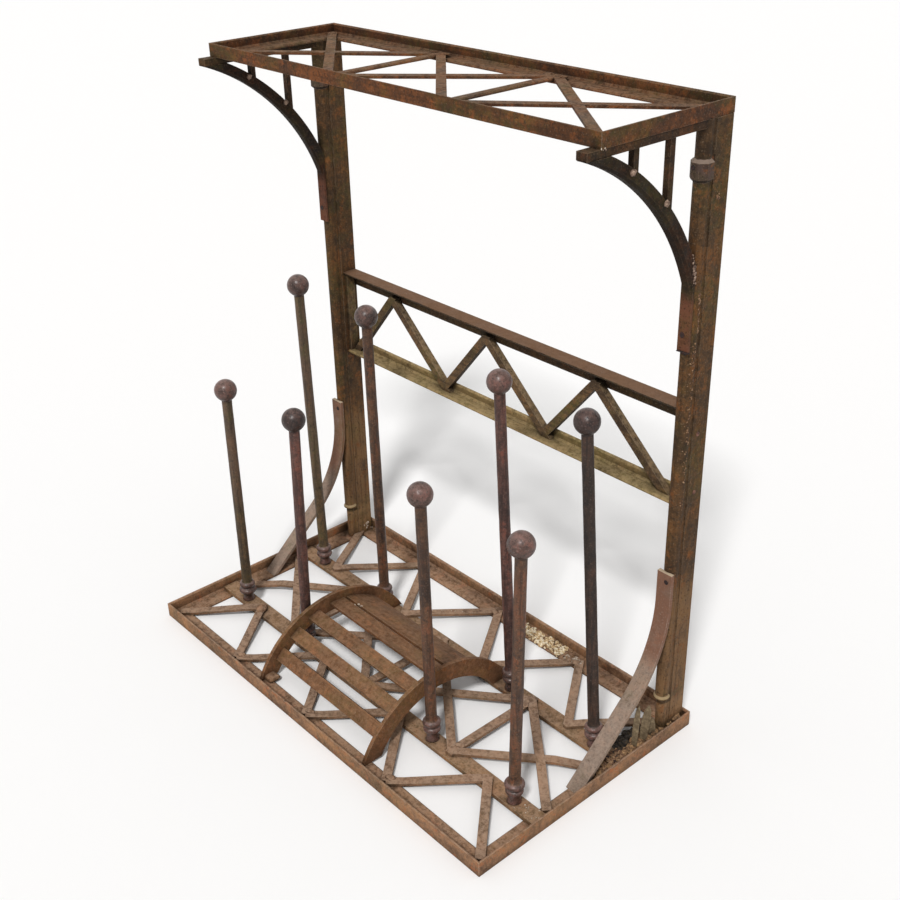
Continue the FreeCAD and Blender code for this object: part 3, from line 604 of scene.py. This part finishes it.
def build_posts():
    """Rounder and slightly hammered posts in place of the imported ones."""
    for row, ring_radii in RING_RADII.items():
        for number, radii in enumerate(ring_radii, start=1):
            node = f"{row}_boot_post_{number}"
            base, pole = post_axis(node)
            axis = pole - base
            ball_level = axis.length - BALL_RADIUS
            profile = post_profile(ball_level, radii)
            mesh = mesh_from(node + "_turned",
                             lambda bm: lathe(bm, profile, base, axis, POST_SIDES, POST_WOBBLE))
            piece = add_piece(node + "_turned", mesh, OTHER_COATS.get(node, PLAIN_COATS))
            for face in mesh.polygons:
                level = (face.center - base).dot(axis.normalized())
                if level > ball_level - BALL_RADIUS:
                    face.material_index = 1
                elif level < RING_TOP:
                    face.material_index = 2
            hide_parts(node)


# ---- rivets, knobs and welds -------------------------------------------------------------------
KNOB_SIDES = (("left", -0.371), ("right", 0.389))     # x beside each bow
KNOB_PLACES = ((0.0355, 0.8895), (0.0975, 0.8412))    # (y, z) of the struts' feet
KNOB_SIZE = (0.0040, 0.0045, 0.0034)
KNOB_STAND = 0.0008                                   # of its middle out of the bow
KNOB_SPIN = 0.6
KNOB_ROUGHNESS = 0.25
KNOB_SEED = 11

# (from the upright's centre, y, z) and radius
HOLLOWS = (((-0.0031, 0.1585, 0.8682), 0.0027), ((0.0036, 0.1575, 0.2832), 0.0030),
           ((-0.0022, 0.1560, 0.6554), 0.0033))
# a low lip round a cupped middle that stays just clear of the bar: (share of radius, height)
HOLLOW_FORM = ((1.20, -0.0004), (1.15, 0.0005), (0.95, 0.0009), (0.72, 0.0006), (0.35, 0.0004),
               (0.0, 0.0003))

TRUSS_RIVETS = [(x, 0.199, 0.5215) for x in (-0.254, -0.0255, 0.203)]
WEB_RIVETS = [(side * WEB_X, y, z)
              for side in (-1, 1) for y, z in ((0.1955, 0.4170), (0.1930, 0.5073))]
# name, slot, material, radius, height, places
RIVETS = (("truss_rivets", "truss_iron", IRONS["truss_iron"], 0.0036, 0.0018, TRUSS_RIVETS),
          ("web_rivets", "upright_iron", WORN_RIVET, 0.0034, 0.0017, WEB_RIVETS))
RIVET_STEPS = 7
RIVET_SHOULDER = 0.8              # under 1 makes the dome fuller
RIVET_SEAT = (0.96, -0.0006)      # share of radius and height of the foot in the bar

WELD_SEED = 5
WELD_SPIN = 0.7
WELD_ROUGHNESS = 0.35
LOWEST_WELD = 0.004               # nothing lower is a place where bars meet


def dome_profile(radius, height):
    """A hammered rivet head on a short seat."""
    share, depth = RIVET_SEAT
    profile = [(radius * share, depth), (radius, 0.0)]
    for i in range(1, RIVET_STEPS):
        angle = math.pi / 2 * i / RIVET_STEPS
        profile.append((radius * math.cos(angle) ** RIVET_SHOULDER, height * math.sin(angle)))
    return profile + [(0.0, height)]


def turn_on_seat(bm, profile, place):
    """A small turned form on the rack's surface nearest to a place."""
    seat, facing = seat_near(place)
    lathe(bm, profile, seat, facing, HEAD_SIDES, HEAD_WOBBLE)


def build_knobs():
    """Peened ends of the bracket struts, which stand out of the bows' sides."""
    for side, x in KNOB_SIDES:
        def build(bm):
            rng = random.Random(KNOB_SEED)
            for y, z in KNOB_PLACES:
                seat, facing = seat_near((x, y, z))
                centre = seat + facing * KNOB_STAND
                blob(bm, centre, KNOB_SIZE, turned(facing, KNOB_SPIN), KNOB_ROUGHNESS, rng)
        mesh = mesh_from(side + "_knobs", build)
        add_piece(side + "_bracket_knobs", mesh, (PEENED_IRON,))


def build_hollows():
    """Worn rivet holes on collars, foot braces' heads and bows' feet: near-black cups of painted
    shade.
    """
    def build(bm):
        for side in (-1, 1):
            for (shift, y, z), radius in HOLLOWS:
                profile = [(radius * share, height) for share, height in HOLLOW_FORM]
                turn_on_seat(bm, profile, (side * UPRIGHT_X + shift, y, z))
    add_piece("rivet_hollows", mesh_from("rivet_hollows", build), (HOLLOW,))


def build_rivets():
    """Round heads on the truss's top rail and on the uprights' webs."""
    for name, slot, material, radius, height, places in RIVETS:
        def build(bm):
            for place in places:
                turn_on_seat(bm, dome_profile(radius, height), place)
        add_piece(name, mesh_from(name, build), (material,))


def grid(xs, ys):
    """Plan points at every pair of an x and a y."""
    return [(x, y) for x in xs for y in ys]


def build_welds():
    """Lumps of weld and forged iron where bars meet."""
    tray_nodes = (grid((-0.207, -0.013, 0.185), (-0.194,))
                  + grid((-0.288, -0.101, 0.091, 0.287), (-0.110,))
                  + grid((-0.201, -0.003, 0.188), (0.194,))
                  + grid((-0.296, -0.101, 0.093, 0.286), (0.085,))
                  + grid((-0.1925, 0.0, 0.209), (-0.080, 0.055)))
    shelf_nodes = (grid((-0.129, -0.103, 0.103, 0.129), (0.0, 0.197))
                   + grid((-0.368, 0.368), (0.003, 0.194)))
    groups = (("tray_welds", "lattice_iron", tray_nodes, 0.03, (0.0075, 0.0055, 0.0016)),
              ("shelf_welds", "shelf_iron", shelf_nodes, 1.0, (0.0080, 0.0055, 0.0016)))
    for name, slot, places, height, size in groups:
        def build(bm):
            rng = random.Random(WELD_SEED)
            for x, y in places:
                found = seat_below(x, y, height)
                if found and found[0].z > LOWEST_WELD:
                    turn = turned(found[1], rng.uniform(-WELD_SPIN, WELD_SPIN))
                    blob(bm, found[0], size, turn, WELD_ROUGHNESS, rng)
        add_piece(name, mesh_from(name, build), (IRONS[slot],))


# ---- forged details of the tray ----------------------------------------------------------------
LUG_CENTRE = (-0.1265, -0.1885, 0.0085)
LUG_SIZE = (0.0250, 0.0225, 0.0090)
LUG_TAPER = 0.85                  # of its top against its foot
LUG_ROUNDING = 0.0044
LUG_WEAR = 0.0006
LUG_DENTS = 130                   # per metre
KNUCKLE_CENTRE = (-0.2845, -0.1010, 0.0150)
KNUCKLE_SIZE = (0.0125, 0.0095, 0.0066)
KNUCKLE_SPIN = -0.785             # along the bar
KNUCKLE_ROUGHNESS = 0.18
KNUCKLE_SEED = 14


def build_lug():
    """Small worn lug beside the left arch's front foot."""
    def build(bm):
        made = bmesh.ops.create_cube(bm, size=1.0)["verts"]
        for vertex in made:
            taper = LUG_TAPER if vertex.co.z > 0 else 1.0
            shares = (taper, taper, 1.0)
            vertex.co = [LUG_CENTRE[i] + vertex.co[i] * LUG_SIZE[i] * shares[i]
                         for i in range(3)]
        bmesh.ops.bevel(bm, geom=bm.edges[:], offset=LUG_ROUNDING, segments=4, profile=0.5,
                        affect="EDGES")
        for vertex in bm.verts:
            vertex.co += Vector((1, 1, 1)) * LUG_WEAR * noise.noise(vertex.co * LUG_DENTS)
    add_piece("scraper_front_lug", mesh_from("lug", build), (IRONS["tray_iron"],))


def build_knuckle():
    """Rounded knuckle where the front zigzag's first bar laps the post rail."""
    def build(bm):
        blob(bm, Vector(KNUCKLE_CENTRE), KNUCKLE_SIZE, turned(UP, KNUCKLE_SPIN),
             KNUCKLE_ROUGHNESS, random.Random(KNUCKLE_SEED))
    mesh = mesh_from("knuckle", build)
    add_piece("front_zigzag_knuckle", mesh, (IRONS["tray_iron"],))


# ---- flaking rust ------------------------------------------------------------------------------
LEVEL_ENOUGH = 0.3                # how far up a surface faces where chips stay on it
CRUMB_UNEVENNESS = 0.5
HEAP_UNEVENNESS = 0.45

# width, thickness, and (place, way it faces) from foot to tip of each flake by the right foot
CURLED_FLAKES = (
    (0.0140, 0.0018, (((0.3830, 0.1300, 0.004), (0.6, -0.8, 0)),
                      ((0.3835, 0.1310, 0.026), (0.6, -0.8, 0.1)),
                      ((0.3840, 0.1335, 0.048), (0.6, -0.8, 0.1)),
                      ((0.3846, 0.1360, 0.063), (0.6, -0.8, 0)),
                      ((0.3850, 0.1380, 0.0745), (0.6, -0.8, 0)))),
    (0.0100, 0.0016, (((0.3845, 0.1080, 0.004), (0.5, -0.8, 0)),
                      ((0.3850, 0.1084, 0.030), (0.5, -0.8, 0.1)),
                      ((0.3852, 0.1100, 0.055), (0.5, -0.8, 0.1)),
                      ((0.3850, 0.1122, 0.074), (0.5, -0.8, 0)),
                      ((0.3850, 0.1145, 0.088), (0.5, -0.8, 0)))),
    (0.0110, 0.0018, (((0.3860, 0.1470, 0.004), (0.7, -0.7, 0)),
                      ((0.3860, 0.1465, 0.020), (0.7, -0.7, 0.1)),
                      ((0.3862, 0.1455, 0.036), (0.7, -0.7, 0.1)),
                      ((0.3865, 0.1450, 0.048), (0.7, -0.7, 0)))),
)
# corners of a flake's section: half widths across, curl, and thicknesses out of its face
FLAKE_SECTION = ((1, 1, 0), (0, 0, 0.5), (-1, 1, 0), (-0.9, 1, -1), (0, 0, -0.8), (0.9, 1, -1))
FLAKE_CURL = 0.35                 # how far its edges stand forward, in half widths
FLAKE_TIP = 0.0003                # least half width


def keep_inside(bm):
    """Holds loose scale within the rack's own box."""
    for vertex in bm.verts:
        vertex.co = [min(max(vertex.co[i], cad_box[0][i] + BOX_MARGIN), cad_box[1][i] - BOX_MARGIN)
                     for i in range(3)]


def chip(bm, centre, turn, size, thickness, rng):
    """A broken flake: an uneven plate of five to seven sides."""
    sides = rng.randint(5, 7)
    stretch = rng.uniform(0.6, 1.0)
    rims = []
    for level, shrink in ((-0.5, 1.0), (0.5, 0.86)):
        rim = []
        for i in range(sides):
            angle = 2 * math.pi * (i + rng.uniform(-0.25, 0.25)) / sides
            reach = size * rng.uniform(0.75, 1.0) * shrink
            local = Vector((reach * math.cos(angle), stretch * reach * math.sin(angle),
                            level * thickness))
            rim.append(bm.verts.new(centre + turn @ local))
        rims.append(rim)
    close_between(bm, rims)


def scatter(name, material, seed, count, corners, sizes, thickness, tilt, height=0.10):
    """Chips strewn over a level patch, given by two opposite corners."""
    (x0, y0), (x1, y1) = corners

    def build(bm):
        rng = random.Random(seed)
        for _ in range(count):
            found = seat_below(rng.uniform(x0, x1), rng.uniform(y0, y1), height)
            if found is None or found[1].z < LEVEL_ENOUGH:
                continue
            seat, facing = found
            size = rng.uniform(*sizes)
            lean = (Matrix.Rotation(rng.uniform(-tilt, tilt), 3, "X")
                    @ Matrix.Rotation(rng.uniform(-tilt, tilt), 3, "Y"))
            turn = turned(facing, rng.uniform(0, FULL_TURN)) @ lean
            centre = seat + Vector((0, 0, thickness * 0.5))
            chip(bm, centre, turn, size, thickness * rng.uniform(0.6, 1.3), rng)
        keep_inside(bm)
    add_piece(name, mesh_from(name, build), (material,), smooth=False)


def crumbs_along(name, material, seed, count, start, end, spread, sizes):
    """Small lumps of scale clinging along a line."""
    start, end = Vector(start), Vector(end)

    def build(bm):
        rng = random.Random(seed)
        for _ in range(count):
            along = start.lerp(end, rng.random())
            place = along + Vector([rng.uniform(-spread, spread) for _ in range(3)])
            seat, facing = seat_near(place)
            size = rng.uniform(*sizes)
            half_sizes = (size, size * rng.uniform(0.7, 1.5), size * 0.6)
            turn = turned(facing, rng.uniform(0, HALF_TURN))
            blob(bm, seat, half_sizes, turn, CRUMB_UNEVENNESS, rng, detail=2)
        keep_inside(bm)
    add_piece(name, mesh_from(name, build), (material,))


def heap(name, material, seed, count, low_corner, high_corner, sizes, detail=2):
    """Lumps of crumbled scale piled against the tray's side, lower towards its middle."""
    (x0, y0, z0), (x1, y1, z1) = low_corner, high_corner

    def build(bm):
        rng = random.Random(seed)
        for _ in range(count):
            across, along = rng.random(), rng.random()
            crest = z0 + (z1 - z0) * (0.35 + 0.65 * along) * (0.45 + 0.55 * across)
            size = rng.uniform(*sizes)
            place = Vector((x0 + (x1 - x0) * across, y0 + (y1 - y0) * along,
                            crest * rng.uniform(0.15, 1.0)))
            half_sizes = (size, size * rng.uniform(0.8, 1.5), size * rng.uniform(0.6, 0.9))
            turn = turned(UP, rng.uniform(0, HALF_TURN))
            blob(bm, place, half_sizes, turn, HEAP_UNEVENNESS, rng, detail)
        keep_inside(bm)
    add_piece(name, mesh_from(name, build), (material,))


def blade(bm, width, thickness, path):
    """A curled flake that stands on its foot and runs out to a rounded tip."""
    path = [(Vector(place), Vector(facing)) for place, facing in path]
    fine = []
    for (place, facing), (next_place, next_facing) in zip(path, path[1:]):
        fine += [(place.lerp(next_place, share), facing.lerp(next_facing, share))
                 for share in (0, 1 / 3, 2 / 3)]
    path = fine + path[-1:]
    last = len(path) - 1
    rims = []
    for i, (place, facing) in enumerate(path):
        facing = facing.normalized()
        ahead = path[min(i + 1, last)][0] - path[max(i - 1, 0)][0]
        across = ahead.cross(facing).normalized()
        share = i / last
        half = width / 2 * (0.70 + 0.35 * math.sin(math.pi * share)) * math.sqrt(1 - share ** 6)
        half = max(half, FLAKE_TIP)
        curl = facing * half * FLAKE_CURL
        rims.append([bm.verts.new(place + (across * half * a + curl * c + facing * thickness * f))
                     for a, c, f in FLAKE_SECTION])
    close_between(bm, rims)


def build_blades():
    """Curled flakes that have come away at the right foot."""
    def build(bm):
        for width, thickness, path in CURLED_FLAKES:
            blade(bm, width, thickness, path)
    mesh = mesh_from("curled_flakes", build)
    piece = add_piece("right_foot_curled_flakes", mesh, (OLIVE_FLAKE,))
    smoothing = piece.modifiers.new("smooth", "SUBSURF")
    smoothing.levels = smoothing.render_levels = 2


def build_tray_scale():
    """Flakes on the tray's rear leg, what has crumbled down by the right foot, and painted shadow
    lumps.
    """
    scatter("rear_leg_crust", GOLD_CRUST, seed=3, count=300,
            corners=((0.040, 0.1885), (0.152, 0.2140)), sizes=(0.0018, 0.0052),
            thickness=0.0014, tilt=0.40)
    scatter("rear_leg_dark_crust", BROWN_CRUST, seed=4, count=70,
            corners=((0.020, 0.1880), (0.180, 0.2140)), sizes=(0.0014, 0.0032),
            thickness=0.0010, tilt=0.40)
    scatter("rear_leg_pale_patch", PALE_CRUST, seed=6, count=60,
            corners=((0.158, 0.1900), (0.196, 0.2040)), sizes=(0.0012, 0.0026),
            thickness=0.0007, tilt=0.20)
    scatter("right_foot_debris", BROWN_CRUST, seed=8, count=260,
            corners=((0.3680, 0.0200), (0.3950, 0.1600)), sizes=(0.0016, 0.0046),
            thickness=0.0016, tilt=0.55, height=0.02)
    scatter("right_foot_red_debris", HOLLOW, seed=9, count=26,
            corners=((0.3690, 0.0500), (0.3900, 0.1400)), sizes=(0.0016, 0.0036),
            thickness=0.0016, tilt=0.55, height=0.02)
    heap("right_foot_heap", EARTH_CRUST, seed=31, count=120, low_corner=(0.3710, 0.0200, 0.005),
         high_corner=(0.3910, 0.1500, 0.018), sizes=(0.0030, 0.0058), detail=3)
    # near-black lumps that stand for the shadow beside the right foot brace: painted shadow
    heap("right_foot_shadow_litter", PAINTED_SHADOW_CRUST, seed=35, count=110,
         low_corner=(0.3490, 0.0860, 0.002), high_corner=(0.3730, 0.1650, 0.009),
         sizes=(0.0026, 0.0054))
    heap("right_foot_high_heap", EARTH_CRUST, seed=32, count=60,
         low_corner=(0.3880, 0.1200, 0.012), high_corner=(0.3910, 0.2040, 0.026),
         sizes=(0.0030, 0.0052), detail=3)
    heap("right_foot_front_heap", EARTH_CRUST, seed=34, count=45,
         low_corner=(0.3700, 0.1250, 0.008), high_corner=(0.3900, 0.1540, 0.022),
         sizes=(0.0030, 0.0060), detail=3)
    heap("right_foot_pale_lumps", PALE_CRUST, seed=33, count=9,
         low_corner=(0.3740, 0.0400, 0.008), high_corner=(0.3930, 0.1500, 0.018),
         sizes=(0.0014, 0.0028))
    scatter("rear_bar_speckles", PALE_CRUST, seed=12, count=70,
            corners=((-0.085, 0.090), (-0.010, 0.170)), sizes=(0.0008, 0.0017),
            thickness=0.0006, tilt=0.20)
    scatter("front_rail_speckles", PALE_CRUST, seed=13, count=16,
            corners=((0.345, -0.108), (0.394, -0.084)), sizes=(0.0009, 0.0018),
            thickness=0.0007, tilt=0.20)


def build_clinging_scale():
    """Crumbs of scale on the uprights, scraper's blade and shelf's corner; painted shadow under
    the right bow's foot.
    """
    crumbs_along("left_foot_crust", PALE_CRUST, seed=21, count=16,
                 start=(-0.376, 0.212, 0.006), end=(-0.3640, 0.196, 0.024), spread=0.004,
                 sizes=(0.0012, 0.0030))
    crumbs_along("right_foot_crust", BROWN_CRUST, seed=22, count=26,
                 start=(0.390, 0.170, 0.006), end=(0.390, 0.212, 0.007), spread=0.003,
                 sizes=(0.0012, 0.0026))
    crumbs_along("right_bow_crust", PEENED_IRON, seed=23, count=26,
                 start=(0.3890, 0.1575, 0.765), end=(0.3890, 0.1630, 0.725), spread=0.0024,
                 sizes=(0.0009, 0.0022))
    crumbs_along("right_groove_crust", BROWN_CRUST, seed=24, count=30,
                 start=(0.3895, 0.1735, 0.715), end=(0.3890, 0.1765, 0.655), spread=0.0018,
                 sizes=(0.0008, 0.0020))
    crumbs_along("right_groove_flecks", BROWN_CRUST, seed=36, count=90,
                 start=(0.3885, 0.1705, 0.645), end=(0.3885, 0.1705, 0.395), spread=0.0034,
                 sizes=(0.0005, 0.0014))
    # a row of near-black lumps under the right bow's foot: painted shadow
    crumbs_along("right_bow_foot_shadow", HOLLOW, seed=37, count=30,
                 start=(0.3725, 0.1600, 0.6308), end=(0.3885, 0.1600, 0.6308), spread=0.0006,
                 sizes=(0.0015, 0.0022))
    crumbs_along("right_web_blister", BROWN_CRUST, seed=25, count=7,
                 start=(0.3900, 0.1935, 0.832), end=(0.3900, 0.1950, 0.820), spread=0.0020,
                 sizes=(0.0012, 0.0024))
    crumbs_along("scoop_pale_scale", PALE_CRUST, seed=26, count=8,
                 start=(-0.1000, -0.0285, 0.0850), end=(-0.0900, -0.0250, 0.0850),
                 spread=0.0012, sizes=(0.0010, 0.0022))
    crumbs_along("shelf_corner_scale", PALE_CRUST, seed=27, count=7,
                 start=(0.3885, -0.0160, 0.9250), end=(0.3885, -0.0100, 0.9240),
                 spread=0.0012, sizes=(0.0008, 0.0016))


# ---- floor, light, camera ----------------------------------------------------------------------
def white_floor():
    """A plain pale floor that reads white to the camera and still takes the rack's shadow."""
    mesh = bpy.data.meshes.new("floor")
    corners = [(x * FLOOR_HALF, y * FLOOR_HALF, FLOOR_LEVEL)
               for x, y in ((-1, -1), (1, -1), (1, 1), (-1, 1))]
    mesh.from_pydata(corners, [], [(0, 1, 2, 3)])
    floor = bpy.data.objects.new("floor", mesh)
    bpy.context.scene.collection.objects.link(floor)
    shader = Shader("floor")
    mesh.materials.append(shader.finish(linear(FLOOR_COLOUR), FLOOR_ROUGHNESS,
                                        shader.surface_normal()))


def sky():
    """Even light from all round, and plain white where it is seen or mirrored."""
    world = bpy.data.worlds.new("studio")
    world.use_nodes = True
    tree = world.node_tree
    background = tree.nodes["Background"]
    background.inputs["Color"].default_value = (1, 1, 1, 1)
    path = tree.nodes.new("ShaderNodeLightPath")
    shown = path.outputs["Is Camera Ray"]
    for ray in ("Is Glossy Ray", "Is Transmission Ray"):
        either = tree.nodes.new("ShaderNodeMath")
        either.operation = "MAXIMUM"
        tree.links.new(shown, either.inputs[0])
        tree.links.new(path.outputs[ray], either.inputs[1])
        shown = either.outputs[0]
    strength = tree.nodes.new("ShaderNodeMapRange")
    strength.inputs["To Min"].default_value = WORLD_STRENGTH
    strength.inputs["To Max"].default_value = BACKGROUND_STRENGTH
    tree.links.new(shown, strength.inputs["Value"])
    tree.links.new(strength.outputs["Result"], background.inputs["Strength"])
    bpy.context.scene.world = world


def key_light():
    """One soft lamp from the photographer's left."""
    lamp = bpy.data.lights.new("key", "SUN")
    lamp.energy = KEY_STRENGTH
    lamp.angle = math.radians(KEY_SOFTNESS)
    light = bpy.data.objects.new("key", lamp)
    light.rotation_euler = Vector(KEY_DIRECTION).to_track_quat("Z", "Y").to_euler()
    bpy.context.scene.collection.objects.link(light)


def camera():
    """The photograph's own camera, solved from the rack's straight lines."""
    data = bpy.data.cameras.new("camera")
    data.lens = CAMERA_LENS
    view = bpy.data.objects.new("camera", data)
    turn = Matrix.Rotation(math.radians(CAMERA_AZIMUTH), 4, "Z")
    tilt = Matrix.Rotation(math.radians(90 - CAMERA_ELEVATION), 4, "X")
    roll = Matrix.Rotation(math.radians(CAMERA_ROLL), 4, "Z")
    view.matrix_world = Matrix.Translation(CAMERA_PLACE) @ turn @ tilt @ roll
    bpy.context.scene.collection.objects.link(view)
    bpy.context.scene.camera = view


dress_frame()
build_posts()
build_knobs()
build_hollows()
build_rivets()
build_welds()
build_blades()
build_lug()
build_knuckle()
build_tray_scale()
build_clinging_scale()
white_floor()
sky()
key_light()
camera()
bpy.context.scene.view_settings.view_transform = "Standard"
